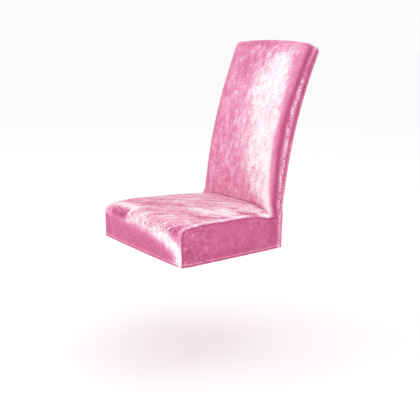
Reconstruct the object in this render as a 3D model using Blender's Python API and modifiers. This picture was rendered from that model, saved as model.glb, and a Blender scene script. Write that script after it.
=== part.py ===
"""Stretch cover for a high-backed dining chair, sewn from five panels.

Metres, +Z up. The panels are worked out as they sit on the chair: it faces -Y, y = 0 is the
front hem and z = 0 is the floor. They are then hung under an empty that puts the inside of
the cover's top, which rests on the chair's back, at the origin.
"""

import math

import bmesh
import bpy
from mathutils import Vector, noise

# Cloth
CLOTH = 0.0018  # thickness of the velvet
HEM_CLOTH = 0.003  # thickness where the hem is turned up
HEM_HEIGHT = 0.0085
HEM_PROUD = 0.0008  # how far the turned band stands out
HEM_DIP = 0.6  # the dip above the band, as a share of that
HEM_FADE = 0.003  # height over which the dip ends
EDGE_GAP = 0.00017  # half of the space between two sewn edges
UNEVEN = 0.0007  # height of the soft unevenness of the stretched cloth
UNEVEN_SCALE = 14.0  # waves of it per metre
SEAM_CALM = 0.004  # no unevenness this near to a seam
SEAM_FADE = 0.02  # and less of it over this distance

# Seat
SEAT_HALF_FRONT = 0.2365
SEAT_TAPER = 0.0915  # what the half width loses for each metre of depth
HEM_FRONT_Z = 0.369
HEM_SLOPE = -0.0395  # the hem falls towards the rear
FRONT_SEAM_Y = 0.007
FRONT_CORNER = 0.027  # radius of the side panel's curved front corner
FRONT_CORNER_Z = 0.457
FRONT_CROWN = 0.004
SIDE_BULGE = 0.003
BULGE_REACH = 0.05  # distance from the seam where the bulge is full
CREASE_Y = 0.3885
CROWN_POWERS = (2.4, 5.0)  # how flat the seat's middle is, in front and at the crease
CROWN_TURN_Y = 0.2  # from here the one turns to the other
SIDE_SEAM = [  # columns: y, height of the side seam, height of the middle of the seat
    (0.034, 0.484, 0.4965),
    (0.100, 0.489, 0.5005),
    (0.190, 0.483, 0.5015),
    (0.270, 0.482, 0.4995),
    (0.337, 0.474, 0.4955),
    (0.3885, 0.459, 0.4920),
]

# Back: its front face is an arc that leans further and further back
BACK_FOOT_Y = 0.386
BACK_FOOT_Z = 0.476
BACK_HALF = 0.1895
LEAN_FOOT = math.radians(4.5)
LEAN_RATE = math.radians(21.5) / 0.55  # turn of the arc for each metre along it
BACK_TOP = 0.573  # length of the arc at the top corners
TOP_ARCH = 0.011
ARCH_START = 0.8  # share of the length above which the outline is arched
TOP_CORNER = 0.014
BACK_CROWN = 0.005
CROWN_LOW = 0.1  # the crown dies out over these lengths at the crease and the top
CROWN_HIGH = 0.15
THICK_LOW = 0.0615  # front to rear, below the seat's height
THICK_HIGH = 0.065
THICK_RISE = 0.08  # length over which the one turns to the other
SEAM_LOW = 0.0305  # from the front face to the rear seam, below the seat's height
SEAM_HIGH = 0.045
SEAM_RISE = 0.032
HANG_SHARE = 0.7  # the cover hangs from here, as a share of the way to the top seam
SIDE_FOOT = -0.0133  # where the front panel's sides end, along the arc
REAR_HEM = -0.12  # about where the rear hem is, along the arc
FRONT_EDGE = 0.026  # roundings of the back's edges
FRONT_EDGE_FOOT = 0.0046
FOOT_BLEND = 0.08  # length from the foot over which the front rounding grows
TOP_BLEND = 0.45  # from here the roundings turn to those at the top
FRONT_EDGE_TOP = 0.018
REAR_EDGE = 0.012
REAR_EDGE_TOP = 0.014
BLEND_LOW = 0.455  # the sides turn from the seat's width to the back's between these heights
BLEND_HIGH = 0.555

# Sewn edges roll inwards: radius and angle of the roll
CORNER_ROLL = (0.007, math.radians(70))  # along a corner of the chair
FLAT_ROLL = (0.007, math.radians(30))  # within a flat face
CREASE_ROLL = (0.006, math.radians(60))  # where the seat meets the back

# How finely the panels are divided
HEM_ROWS = [0.0, HEM_HEIGHT / 2, HEM_HEIGHT, HEM_HEIGHT + HEM_FADE]
FOOT_HEIGHTS = [0.0, 0.0022, 0.0055, 0.014, 0.026]  # rows above the foot of the back's sides
FOOT_GAP = 0.012  # from the last even row to the first of those
SIDE_STEPS = 16
TOP_STEPS = 12
CORNER_STEPS = 2  # in each half of a top corner
FRONT_RINGS = 4  # in the rounding of the back's front edges
REAR_RINGS = 3
REAR_STEPS = 3
CREASE_ROWS = (0.016, 0.0055, 0.0022)  # rows in front of the crease
SEAM_STEPS = 12
BORDER_STEPS = 3
ROUND_STEPS = 6  # round the seat's front corner
ACROSS_STEPS = 14
SIDE_FRONT_STEPS = 4
SIDE_ROUND_STEPS = 3
SIDE_REAR_STEPS = 4
ROLL_STEP = 0.39  # share of a roll's width where it has a row of its own
EDGE_ROW = 0.016  # last row beside the seat's side seam
UNDER_BLEND = 0.006  # length over which the side panel's top edge passes under the back

PINK = (0.80, 0.25, 0.40, 1.0)


def lerp(a, b, t):
    return a + (b - a) * t


def smooth(t):
    t = min(1.0, max(0.0, t))
    return t * t * (3 - 2 * t)


def spread(low, high, steps):
    """Evenly spaced values from low to high, both included."""
    return [lerp(low, high, k / steps) for k in range(steps + 1)]


def curve(table, column, y):
    """A table's column at y, on a smooth curve through its rows."""
    rows = [(row[0], row[column]) for row in table]
    if y <= rows[0][0]:
        return rows[0][1]
    if y >= rows[-1][0]:
        return rows[-1][1]
    k = next(i for i in range(len(rows) - 1) if y <= rows[i + 1][0])
    slopes = []
    for i in (k, k + 1):
        a, b = rows[max(i - 1, 0)], rows[min(i + 1, len(rows) - 1)]
        slopes.append((b[1] - a[1]) / (b[0] - a[0]))
    (y0, z0), (y1, z1) = rows[k], rows[k + 1]
    span = y1 - y0
    t = (y - y0) / span
    bend = (2 * t**3 - 3 * t**2 + 1) * z0 + (3 * t**2 - 2 * t**3) * z1
    return bend + span * ((t**3 - 2 * t**2 + t) * slopes[0] + (t**3 - t**2) * slopes[1])


def roll_width(roll):
    return roll[0] * math.sin(roll[1])


def roll_depth(roll, edge=0.0):
    """How far a rolled edge has turned in, at a distance from its seam."""
    radius = roll[0]
    reach = max(0.0, roll_width(roll) - edge)
    return radius - math.sqrt(radius**2 - reach**2)


def hem_relief(height):
    """How far the turned hem stands out, at a height above the cloth's lower edge."""
    if height > HEM_HEIGHT:
        return -HEM_DIP * HEM_PROUD * (1 - smooth((height - HEM_HEIGHT) / HEM_FADE))
    return HEM_PROUD * (math.sin(math.pi * height / HEM_HEIGHT) - HEM_DIP * height / HEM_HEIGHT)


def unevenness(point, edge):
    """Soft unevenness that dies out at the seams."""
    fade = smooth((edge - SEAM_CALM) / SEAM_FADE)
    return UNEVEN * fade * noise.noise(point * UNEVEN_SCALE)


def hem_z(y):
    return HEM_FRONT_Z + HEM_SLOPE * y


def side_half(y, z):
    """Half of the cover's width: the seat's taper below, the back's straight sides above."""
    seat = SEAT_HALF_FRONT - SEAT_TAPER * y
    return lerp(seat, BACK_HALF, smooth((z - BLEND_LOW) / (BLEND_HIGH - BLEND_LOW)))


def back_place(along, depth):
    """(y, z) of a point at a length along the back's arc and a depth behind its front face."""
    lean = LEAN_FOOT + LEAN_RATE * along
    y = BACK_FOOT_Y + (math.cos(LEAN_FOOT) - math.cos(lean)) / LEAN_RATE
    z = BACK_FOOT_Z + (math.sin(lean) - math.sin(LEAN_FOOT)) / LEAN_RATE
    return y + depth * math.cos(lean), z - depth * math.sin(lean)


def back_point(share, along, depth):
    """A point of the back, with share the part of its half width."""
    y, z = back_place(along, depth)
    return Vector((share * side_half(y, z), y, z))


def back_thickness(along):
    return lerp(THICK_LOW, THICK_HIGH, smooth(along / THICK_RISE))


def seam_depth(along):
    """Depth of the rear seam behind the front face; it curves forward at the seat's height."""
    return lerp(SEAM_LOW, SEAM_HIGH, smooth((along - SIDE_FOOT) / SEAM_RISE))


def back_top(share):
    return BACK_TOP + TOP_ARCH * (1 - share * share)


def seat_crown(share, y):
    """Height of the seat above its side seams' rolled edges."""
    rise = curve(SIDE_SEAM, 2, y) - curve(SIDE_SEAM, 1, y) - roll_depth(CORNER_ROLL)
    power = lerp(*CROWN_POWERS, smooth((y - CROWN_TURN_Y) / (CREASE_Y - CROWN_TURN_Y)))
    return rise * (1 - abs(share) ** power)


def crease_z(share):
    """Height of the crease between the seat and the back."""
    edge = SIDE_SEAM[-1][1] + roll_depth(CORNER_ROLL) - roll_depth(CREASE_ROLL)
    return edge + seat_crown(share, CREASE_Y)


def coons(low, high, left, right):
    """Rows of points that fill the space inside four edges of points."""
    across, up = len(low) - 1, len(left) - 1
    rows = []
    for j in range(up + 1):
        v = j / up
        row = []
        for i in range(across + 1):
            u = i / across
            sides = lerp(left[j], right[j], u) + lerp(low[i], high[i], v)
            corners = lerp(lerp(low[0], low[-1], u), lerp(high[0], high[-1], u), v)
            row.append(sides - corners)
        rows.append(row)
    return rows


def build_panel(name, rows, rings, hem_rows, collection, parent):
    """One panel: a grid laid on rows of points, with rings extruded from its sides and top.

    A ring holds the points beside the grid's left edge, top edge and right edge, in that
    order. The grid's first hem_rows rows are the turned hem.
    """
    across, up = len(rows[0]) - 1, len(rows) - 1
    form = bmesh.new()
    bmesh.ops.create_grid(form, x_segments=across, y_segments=up, size=1)
    grid = {}
    for vertex in form.verts:
        i = round((vertex.co.x + 1) / 2 * across)
        j = round((vertex.co.y + 1) / 2 * up)
        grid[i, j] = vertex
    hem = {grid[i, j] for i in range(across + 1) for j in range(hem_rows)}
    for (i, j), vertex in grid.items():
        vertex.co = rows[j][i]
    path = [grid[0, j] for j in range(up)]
    path += [grid[i, up] for i in range(across + 1)]
    path += [grid[across, j] for j in range(up - 1, -1, -1)]
    for ring in rings:
        edges = [form.edges.get(pair) for pair in zip(path, path[1:])]
        made = bmesh.ops.extrude_edge_only(form, edges=edges)["geom"]
        new = {item for item in made if isinstance(item, bmesh.types.BMVert)}
        outer = []
        for vertex in path:
            beyond = next(
                edge.other_vert(vertex) for edge in vertex.link_edges
                if edge.other_vert(vertex) in new
            )
            outer.append(beyond)
        for vertex, point in zip(outer, ring, strict=True):
            vertex.co = point
        ends = outer[:hem_rows] + outer[len(outer) - hem_rows:]
        hem.update(ends if hem_rows else [])
        path = outer
    turn_outwards(form)
    form.verts.index_update()
    hem_numbers = [vertex.index for vertex in hem]

    mesh = bpy.data.meshes.new(name)
    form.to_mesh(mesh)
    form.free()
    mesh.shade_smooth()
    mesh.set_sharp_from_angle(angle=math.radians(40))
    mesh.materials.append(velvet(name))
    panel = bpy.data.objects.new(name, mesh)
    collection.objects.link(panel)
    panel.parent = parent
    thick = panel.vertex_groups.new(name="hem")
    thick.add(hem_numbers, 1.0, "REPLACE")
    shell = panel.modifiers.new("cloth", "SOLIDIFY")
    shell.offset = -1
    shell.thickness = HEM_CLOTH if hem_rows else CLOTH
    shell.use_quality_normals = True
    if hem_rows:
        shell.vertex_group = "hem"
        shell.thickness_vertex_group = CLOTH / HEM_CLOTH
    return panel


def turn_outwards(form):
    """Make the open surface face away from the middle of the chair."""
    form.normal_update()
    inside = Vector((0, 0.3, 0.42))
    facing = 0.0
    for face in form.faces:
        middle = face.calc_center_median()
        level = Vector((0, back_place(middle.z - BACK_FOOT_Z, 0.03)[0], middle.z))
        heart = level if middle.z > 0.56 else inside
        facing += face.normal.dot((middle - heart).normalized()) * face.calc_area()
    if facing < 0:
        bmesh.ops.reverse_faces(form, faces=form.faces)


def velvet(name):
    material = bpy.data.materials.new(name + "_velvet")
    material.use_nodes = True
    shader = material.node_tree.nodes["Principled BSDF"]
    shader.inputs["Base Color"].default_value = PINK
    shader.inputs["Roughness"].default_value = 0.5
    shader.inputs["Metallic"].default_value = 0.0
    return material


def foot_rows():
    """Rows at the foot of the back's sides, shared by the two panels that meet there."""
    return [SIDE_FOOT + EDGE_GAP + height for height in FOOT_HEIGHTS]


def back_outline(low_rows):
    """The back seen from the front, as (share of half width, length along the arc).

    Returns the left side's points, up low_rows and then to the middle of the top corner, and
    the top's points from there across. The right side mirrors the left.
    """
    corner_share = TOP_CORNER / BACK_HALF
    straight = BACK_TOP - TOP_CORNER
    side = [(-1.0, along) for along in low_rows]
    side += [(-1.0, along) for along in spread(low_rows[-1], straight, SIDE_STEPS)[1:]]

    def corner(turn):
        share = -1 + corner_share * (1 - math.cos(turn))
        return share, straight + TOP_CORNER * math.sin(turn)

    turns = spread(0.0, math.pi / 4, CORNER_STEPS)
    side += [corner(turn) for turn in turns[1:]]
    top = [corner(math.pi / 4 + turn) for turn in turns[:-1]]
    bends = len(top)
    flat = 1 - corner_share
    top += [(share, BACK_TOP) for share in spread(-flat, flat, TOP_STEPS)]
    top += [(-share, along) for share, along in reversed(top[:bends])]
    return side, top


def arched(share, along):
    """Lift the top of the back's outline by its arch."""
    lift = smooth((along / BACK_TOP - ARCH_START) / (1 - ARCH_START))
    return along + (back_top(share) - BACK_TOP) * lift


def tray(low_rows, edges, foot_along):
    """Outline, face border and filled face of a panel that caps one side of the back.

    edges(along, on_top) gives the radius of the rounding between wall and face, and
    foot_along(share) the lower edge of the face.
    """
    side, top = back_outline(low_rows)
    foot = low_rows[0]
    right = [(-share, along) for share, along in side]
    path = side[:-1] + top + right[:-1][::-1]
    last = len(side) - 1
    across = len(top) - 1

    def on_top(index):
        return last <= index <= last + across

    # the face's border, where the rounding ends
    border = []
    side_end, top_end = side[-1][1], abs(top[0][0])
    for index, (share, along) in enumerate(path):
        if on_top(index):
            radius = edges(along, True)
            inner = 1 - edges(BACK_TOP, False) / BACK_HALF
            share_in = share / top_end * inner
            border.append(Vector((share_in, back_top(share_in) - radius)))
        else:
            radius = edges(along, False)
            share_in = math.copysign(1 - radius / BACK_HALF, share)
            limit = back_top(share_in) - edges(BACK_TOP, True)
            part = (along - foot) / (side_end - foot)
            border.append(Vector((share_in, lerp(foot, limit, part))))
    left_edge = border[:last + 1]
    top_edge = border[last:last + across + 1]
    right_edge = border[last + across:][::-1]
    start = left_edge[0]
    low_edge = [
        Vector((point.x / top_edge[0].x * start.x, foot_along(point.x / top_edge[0].x)))
        for point in top_edge
    ]
    filled = coons(low_edge, top_edge, left_edge, right_edge)
    return path, border, filled, on_top


def turned(path, index):
    """Which way the wall faces at a point of the outline, as (sideways, along)."""
    share, along = path[index]
    straight = BACK_TOP - TOP_CORNER
    if along <= straight:
        return math.copysign(1.0, share), 0.0
    flat = 1 - TOP_CORNER / BACK_HALF
    if abs(share) <= flat:
        return 0.0, 1.0
    over = (abs(share) - flat) * BACK_HALF / TOP_CORNER
    angle = math.acos(min(1.0, over))
    return math.copysign(math.cos(angle), share), math.sin(angle)


def shifted(share, along, depth, sideways, upwards, backwards):
    """A point of the back moved by metres sideways, along the arc and in depth."""
    point = back_point(share, along + upwards, depth + backwards)
    point.x += sideways
    return point


def back_front(collection, parent):
    """Front of the back, rolled round its edges to the rear seam."""
    low_rows = foot_rows()
    foot = low_rows[0]

    def edges(along, on_top):
        low = smooth((along - SIDE_FOOT) / FOOT_BLEND)
        radius = lerp(FRONT_EDGE_FOOT, FRONT_EDGE, low)
        high = smooth((along - TOP_BLEND) / (BACK_TOP - TOP_BLEND))
        return FRONT_EDGE_TOP if on_top else lerp(radius, FRONT_EDGE_TOP, high)

    def foot_along(share):
        return crease_z(share) - BACK_FOOT_Z + EDGE_GAP

    path, border, filled, on_top = tray(low_rows, edges, foot_along)
    rows = []
    for j, line in enumerate(filled):
        row = []
        for i, place in enumerate(line):
            above = place.y - filled[0][i].y
            inner = min(1.0, abs(place.x) / abs(line[0].x))
            height = smooth(above / CROWN_LOW) * smooth((back_top(0) - place.y) / CROWN_HIGH)
            swell = BACK_CROWN * (1 - inner**2) * height
            turn_in = roll_depth(CREASE_ROLL, above)
            depth = turn_in - swell
            edge = min(above, (1 - inner) * BACK_HALF)
            point = back_point(place.x, place.y, depth)
            point.y -= unevenness(point, edge)
            row.append(point)
        rows.append(row)

    rings = []
    for turn in spread(math.pi / 2, 0.0, FRONT_RINGS)[1:]:
        ring = []
        for index, (share, along) in enumerate(path):
            inward = 1 - math.cos(turn)
            inner = border[index]
            across = lerp(share, inner.x, inward)
            up = lerp(arched(share, along), inner.y, inward)
            radius = edges(along, on_top(index))
            above = up - foot
            low = roll_depth(FLAT_ROLL, above) * math.cos(turn)
            low_face = roll_depth(CREASE_ROLL, above) * math.sin(turn)
            side = turned(path, index)[0]
            depth = radius * (1 - math.sin(turn))
            ring.append(shifted(across, up, depth, -low * side, 0.0, low_face))
        rings.append(ring)
    for part in (0.5, 1.0, 2.0, 3.0):
        ring = []
        for index, (share, along) in enumerate(path):
            seam = seam_depth(along) - EDGE_GAP
            start = edges(along, on_top(index))
            last = seam - roll_width(FLAT_ROLL)
            if part <= 1:
                depth = lerp(start, last, part)
            else:
                depth = lerp(last, seam, (part - 1) / 2)
            up = arched(share, along)
            turn_in = roll_depth(FLAT_ROLL, seam - depth)
            turn_in = max(turn_in, roll_depth(FLAT_ROLL, up - foot))
            side, rise = turned(path, index)
            ring.append(shifted(share, up, depth, -turn_in * side, -turn_in * rise, 0.0))
        rings.append(ring)
    return build_panel("back_front", rows, rings, 0, collection, parent)


def back_rear(collection, parent):
    """Outside of the back, from the top seam to the rear hem."""
    rear = back_place(REAR_HEM, THICK_LOW)[0]
    foot = hem_z(rear) - BACK_FOOT_Z
    low_rows = [foot + height for height in HEM_ROWS]
    low_rows += spread(low_rows[-1], SIDE_FOOT - FOOT_GAP, REAR_STEPS)[1:] + foot_rows()

    def edges(along, on_top):
        high = smooth((along - TOP_BLEND) / (BACK_TOP - TOP_BLEND))
        return REAR_EDGE_TOP if on_top else lerp(REAR_EDGE, REAR_EDGE_TOP, high)

    def foot_along(share):
        return foot

    path, border, filled, on_top = tray(low_rows, edges, foot_along)
    rows = []
    for line in filled:
        row = []
        for place in line:
            above = place.y - foot
            inner = min(1.0, abs(place.x) / abs(line[0].x))
            depth = back_thickness(place.y) + hem_relief(above)
            point = back_point(place.x, place.y, depth)
            point.y += unevenness(point, min(above, (1 - inner) * BACK_HALF))
            row.append(point)
        rows.append(row)

    rings = []
    for turn in spread(math.pi / 2, 0.0, REAR_RINGS)[1:]:
        ring = []
        for index, (share, along) in enumerate(path):
            inward = 1 - math.cos(turn)
            inner = border[index]
            across = lerp(share, inner.x, inward)
            up = lerp(arched(share, along), inner.y, inward)
            radius = edges(along, on_top(index))
            relief = hem_relief(up - foot)
            side = turned(path, index)[0]
            depth = back_thickness(up) - radius * (1 - math.sin(turn))
            out = relief * math.cos(turn) * side
            ring.append(shifted(across, up, depth, out, 0.0, relief * math.sin(turn)))
        rings.append(ring)
    for part in (1.0, 2.0, 3.0):
        ring = []
        for index, (share, along) in enumerate(path):
            up = arched(share, along)
            seam = seam_depth(along) + EDGE_GAP
            last = seam + roll_width(FLAT_ROLL)
            depth = lerp(last, seam, (part - 1) / 2)
            turn_in = roll_depth(FLAT_ROLL, depth - seam) - hem_relief(up - foot)
            side, rise = turned(path, index)
            ring.append(shifted(share, up, depth, -turn_in * side, -turn_in * rise, 0.0))
        rings.append(ring)
    return build_panel("back_rear", rows, rings, 3, collection, parent)


def seam_rows():
    """Places along the seat's side seam, shared by the two panels that meet there."""
    last = [CREASE_Y - step for step in (*CREASE_ROWS, 2 * EDGE_GAP)]
    return spread(SIDE_SEAM[0][0], last[0], SEAM_STEPS)[:-1] + last


def seat_profile(low_rows, top_rows):
    """The seat's side seam from the front hem to the crease.

    Each entry holds the seam's (y, z), which way the cloth faces there as (y, z), and the
    height above the hem on the front border.
    """
    straight = FRONT_CORNER_Z - HEM_FRONT_Z
    heights = low_rows + spread(low_rows[-1], straight, BORDER_STEPS)[1:]
    profile = [((FRONT_SEAM_Y, HEM_FRONT_Z + height), (-1.0, 0.0)) for height in heights]
    centre = FRONT_SEAM_Y + FRONT_CORNER
    for turn in spread(0.0, math.pi / 2, ROUND_STEPS)[1:-1]:
        out = (-math.cos(turn), math.sin(turn))
        seam = (centre + FRONT_CORNER * out[0], FRONT_CORNER_Z + FRONT_CORNER * out[1])
        profile.append((seam, out))
    for y in top_rows:
        profile.append(((y, curve(SIDE_SEAM, 1, y)), (0.0, 1.0)))
    return profile


def seat_top(collection, parent):
    """Seat and front border in one piece, rolled over the front edge."""
    low_rows = HEM_ROWS
    profile = seat_profile(low_rows, seam_rows())
    rolled = roll_width(CORNER_ROLL)
    edge_steps = [EDGE_GAP, rolled * ROLL_STEP, rolled, EDGE_ROW]
    rows = []
    for (y, z), (out_y, out_z) in profile:
        half = side_half(y, z) - roll_depth(CORNER_ROLL)
        columns = [half - step for step in edge_steps]
        across = spread(-columns[-1], columns[-1], ACROSS_STEPS)[1:-1]
        xs = [-x for x in columns] + across + columns[::-1]
        on_roof = smooth(out_z)
        row = []
        for x in xs:
            share = x / half
            edge = half - abs(x)
            swell = lerp(FRONT_CROWN * (1 - share**2), seat_crown(share, y), on_roof)
            out = roll_depth(CORNER_ROLL) - roll_depth(CORNER_ROLL, edge) + swell
            if out_z < 1:
                out += hem_relief(z - HEM_FRONT_Z) * smooth(edge / rolled)
            else:
                out -= roll_depth(CREASE_ROLL, CREASE_Y - y)
            point = Vector((x, y + out * out_y, z + out * out_z))
            lift = unevenness(point, min(edge, CREASE_Y - y, z - HEM_FRONT_Z))
            row.append(point + Vector((0, out_y, out_z)) * lift)
        rows.append(row)
    return build_panel("seat_top", rows, [], 3, collection, parent)


def side_amount(y):
    """Depth of the side panel's rolled edge: it is shallow under the back's side."""
    under = smooth((y - CREASE_Y) / UNDER_BLEND)
    return lerp(1.0, roll_depth(FLAT_ROLL) / roll_depth(CORNER_ROLL), under)


def seat_side(name, sign, collection, parent):
    """Side panel of the seat, with its curved front corner."""
    low_rows = HEM_ROWS
    half_turn = math.radians(45)
    centre = (FRONT_SEAM_Y + FRONT_CORNER, FRONT_CORNER_Z)
    hem_along = hem_z(BACK_FOOT_Y + SEAM_LOW) - BACK_FOOT_Z

    def outline(inset):
        """Front, top and rear edges of the panel, moved inwards."""
        inset += EDGE_GAP
        radius = FRONT_CORNER - inset
        front_y = FRONT_SEAM_Y + inset
        front = [Vector((front_y, hem_z(front_y) + height)) for height in low_rows]
        last = hem_z(front_y) + low_rows[-1]
        front += [Vector((front_y, z)) for z in spread(last, FRONT_CORNER_Z, SIDE_FRONT_STEPS)[1:]]
        for turn in spread(0.0, half_turn, SIDE_ROUND_STEPS)[1:]:
            y = centre[0] - radius * math.cos(turn)
            front.append(Vector((y, centre[1] + radius * math.sin(turn))))
        top = []
        for turn in spread(half_turn, math.pi / 2, SIDE_ROUND_STEPS)[:-1]:
            y = centre[0] - radius * math.cos(turn)
            top.append(Vector((y, centre[1] + radius * math.sin(turn))))
        corner = Vector(back_place(SIDE_FOOT - inset, SEAM_LOW - inset))
        for y in seam_rows():
            dip = roll_depth(CREASE_ROLL, CREASE_Y - y)
            top.append(Vector((y, curve(SIDE_SEAM, 1, y) - dip - inset)))
        for y in spread(CREASE_Y, corner.x, SIDE_REAR_STEPS)[1:-1]:
            under = back_place(SIDE_FOOT, y - BACK_FOOT_Y)[1]
            low = SIDE_SEAM[-1][1] - roll_depth(CREASE_ROLL)
            z = lerp(low, under, smooth((y - CREASE_Y) / UNDER_BLEND))
            top.append(Vector((y, z - inset)))
        top.append(corner)
        rear = []
        for point in front:
            part = (point.y - front[0].y) / (front[-1].y - front[0].y)
            along = lerp(hem_along, SIDE_FOOT - inset, part)
            rear.append(Vector(back_place(along, SEAM_LOW - inset)))
        return front, top, rear

    def place(point, edge):
        """The panel's point at (y, z), at a distance from its seam."""
        y, z = point
        middle = smooth(edge / BULGE_REACH)
        turn_in = roll_depth(CORNER_ROLL, edge) * side_amount(y)
        relief = hem_relief(z - hem_z(y)) * smooth(edge / rolled)
        spot = Vector((side_half(y, z) - turn_in + relief + SIDE_BULGE * middle, y, z))
        spot.x += unevenness(spot, min(edge, z - hem_z(y)))
        spot.x *= sign
        return spot

    rolled = roll_width(CORNER_ROLL)
    front, top, rear = outline(rolled)
    low = [Vector((point.x, hem_z(point.x))) for point in spread_points(front[0], rear[0], top)]
    filled = coons(low, top, front, rear)
    rows = []
    for line in filled:
        row = []
        for point in line:
            edge = rolled + min(
                point.x - line[0].x, line[-1].x - point.x,
                max(0.0, curve(SIDE_SEAM, 1, point.x) - rolled - point.y),
            )
            row.append(place(point, max(edge, rolled)))
        rows.append(row)
    rings = []
    for inset in (rolled * ROLL_STEP, 0.0):
        front, top, rear = outline(inset)
        path = front[:-1] + top + rear[:-1][::-1]
        rings.append([place(point, inset) for point in path])
    return build_panel(name, rows, rings, 3, collection, parent)


def spread_points(first, last, along):
    """Points from first to last, spaced as the points of another edge."""
    start, end = along[0].x, along[-1].x
    return [first.lerp(last, (point.x - start) / (end - start)) for point in along]


def main():
    for old in list(bpy.data.objects):
        bpy.data.objects.remove(old)
    collection = bpy.data.collections.new("chair_cover")
    bpy.context.scene.collection.children.link(collection)
    chair = bpy.data.objects.new("chair_place", None)
    collection.objects.link(chair)
    y, z = back_place(back_top(0) - CLOTH, SEAM_HIGH * HANG_SHARE)
    chair.location = (0, -y, -z)
    back_front(collection, chair)
    back_rear(collection, chair)
    seat_top(collection, chair)
    seat_side("seat_side_left", 1, collection, chair)
    seat_side("seat_side_right", -1, collection, chair)


main()
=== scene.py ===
# Pink crushed velvet cover for a high-backed dining chair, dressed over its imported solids.
import math

import bmesh
import bpy
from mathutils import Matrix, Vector, noise


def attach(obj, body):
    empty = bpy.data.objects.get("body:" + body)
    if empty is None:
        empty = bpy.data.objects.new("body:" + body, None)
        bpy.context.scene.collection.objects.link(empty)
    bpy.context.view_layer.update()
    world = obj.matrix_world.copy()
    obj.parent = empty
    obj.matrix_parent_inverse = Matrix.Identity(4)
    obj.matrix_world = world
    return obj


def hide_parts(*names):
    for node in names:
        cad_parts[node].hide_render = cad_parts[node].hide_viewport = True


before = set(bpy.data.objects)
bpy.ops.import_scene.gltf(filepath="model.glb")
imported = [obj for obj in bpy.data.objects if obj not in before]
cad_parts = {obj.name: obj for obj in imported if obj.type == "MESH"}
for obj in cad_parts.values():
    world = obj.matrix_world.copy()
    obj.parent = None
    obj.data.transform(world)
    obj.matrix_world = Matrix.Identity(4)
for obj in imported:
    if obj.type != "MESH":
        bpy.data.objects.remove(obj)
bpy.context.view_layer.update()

# Sizes in metres. The panels are worked out as they sit on the chair: it faces -Y, y = 0 is the
# front hem and z = 0 is the floor. They are then moved so that the cover's top hangs at the origin.
# Pairs named Ease, Fade and Hump are what the functions of these names take.
cloth = {
    "thickness": 0.0018,
    "hemThickness": 0.003,
    "hemHeight": 0.0085,
    "hemProud": 0.0008,  # how far the turned band stands out
    "hemDip": 0.6,  # how deep the stitched line above it lies, as a share of that
    "hemReach": 0.003,
    "seamGap": 0.00005,  # half of the space between two sewn edges
    "seamEase": (0.003, 0.02),  # how the crumples begin beside a seam
    "crumples": [(14.0, 0.0007), (38.0, 0.00035), (95.0, 0.00013)],  # waves per metre, height
    "smoothAngle": math.radians(50),
}

seat = {
    "halfFront": 0.2365,
    "taper": 0.0915,  # what the half width loses for each metre of depth
    "hemFront": 0.369,
    "hemSlope": -0.0395,
    "frontSeamY": 0.007,
    "frontCorner": 0.027,
    "frontCornerZ": 0.455,
    "frontCrown": 0.004,
    "sideBulge": 0.003,
    "bulgeRise": 0.05,
    "crownPowers": (2.4, 5.0),  # the crown is rounder in front and flatter at the crease
    "crownTurnY": 0.2,
    "heart": (0, 0.3, 0.42),  # the middle of the hollow
    "creaseY": 0.3885,
    "sideSeam": [  # y, height of the side seam, height of the middle of the seat
        (0.034, 0.482, 0.4965),
        (0.100, 0.485, 0.5005),
        (0.190, 0.481, 0.5015),
        (0.270, 0.479, 0.4995),
        (0.337, 0.470, 0.4955),
        (0.3885, 0.459, 0.4920),
    ],
}

back = {
    "footY": 0.386,
    "footZ": 0.476,
    "half": 0.1895,
    "leanFoot": math.radians(4.5),
    "leanRate": math.radians(21.5) / 0.55,
    "top": 0.573,  # length of the front arc at the top corners
    "topArch": 0.011,
    "archEase": (0.8, 0.2),  # the rows bend to the arch over the last part of the height
    "topCorner": 0.014,
    "crown": 0.005,
    "crownRise": 0.1,
    "crownFall": 0.15,
    "thickLow": 0.0615,
    "thickHigh": 0.065,
    "thickRise": 0.08,
    "seamLow": 0.0305,  # from the front face to the rear seam
    "seamHigh": 0.045,
    "seamRise": 0.032,
    "sideFoot": -0.0133,
    "rearHem": -0.12,  # about where it lies along the arc
    "frontEdge": 0.026,  # roundings
    "frontEdgeFoot": 0.0046,
    "footFlare": 0.035,
    "frontEdgeTop": 0.018,
    "topFrom": 0.45,  # they change above this length
    "rearEdge": 0.012,
    "rearEdgeTop": 0.014,
    "blendLow": 0.455,  # the sides turn from the seat's width to the back's above this height
    "blendSeat": 0.555,
    "blendBack": 0.505,
    "rearLift": 0.09,  # how much higher the rear of the top sits, for each metre of depth
    "liftEase": (0.45, 0.12),
    "hangShare": 0.7,  # where the cover hangs, from the front face to the rear seam
    "heartDepth": 0.03,  # the middle of the hollow, above a height
    "heartFrom": 0.56,
}

# sewn edges roll inwards: radius and angle
cornerRoll = (0.007, math.radians(70))
flatRoll = (0.007, math.radians(30))
creaseRoll = (0.006, math.radians(60))
rollSteps = (0.2, 0.39, 0.6, 0.8, 1.0)  # of its width


def lerp(a, b, t):
    return a + (b - a) * t


def smooth(t):
    t = min(1.0, max(0.0, t))
    return t * t * (3 - 2 * t)


def ease(place, start, length):
    return smooth((place - start) / length)


def fade(place, end, length):
    return smooth((end - place) / length)


def hump(away, height, width):
    return height * math.exp(-(away / width) ** 2)


def spread(low, high, steps):
    return [lerp(low, high, k / steps) for k in range(steps + 1)]


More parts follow.
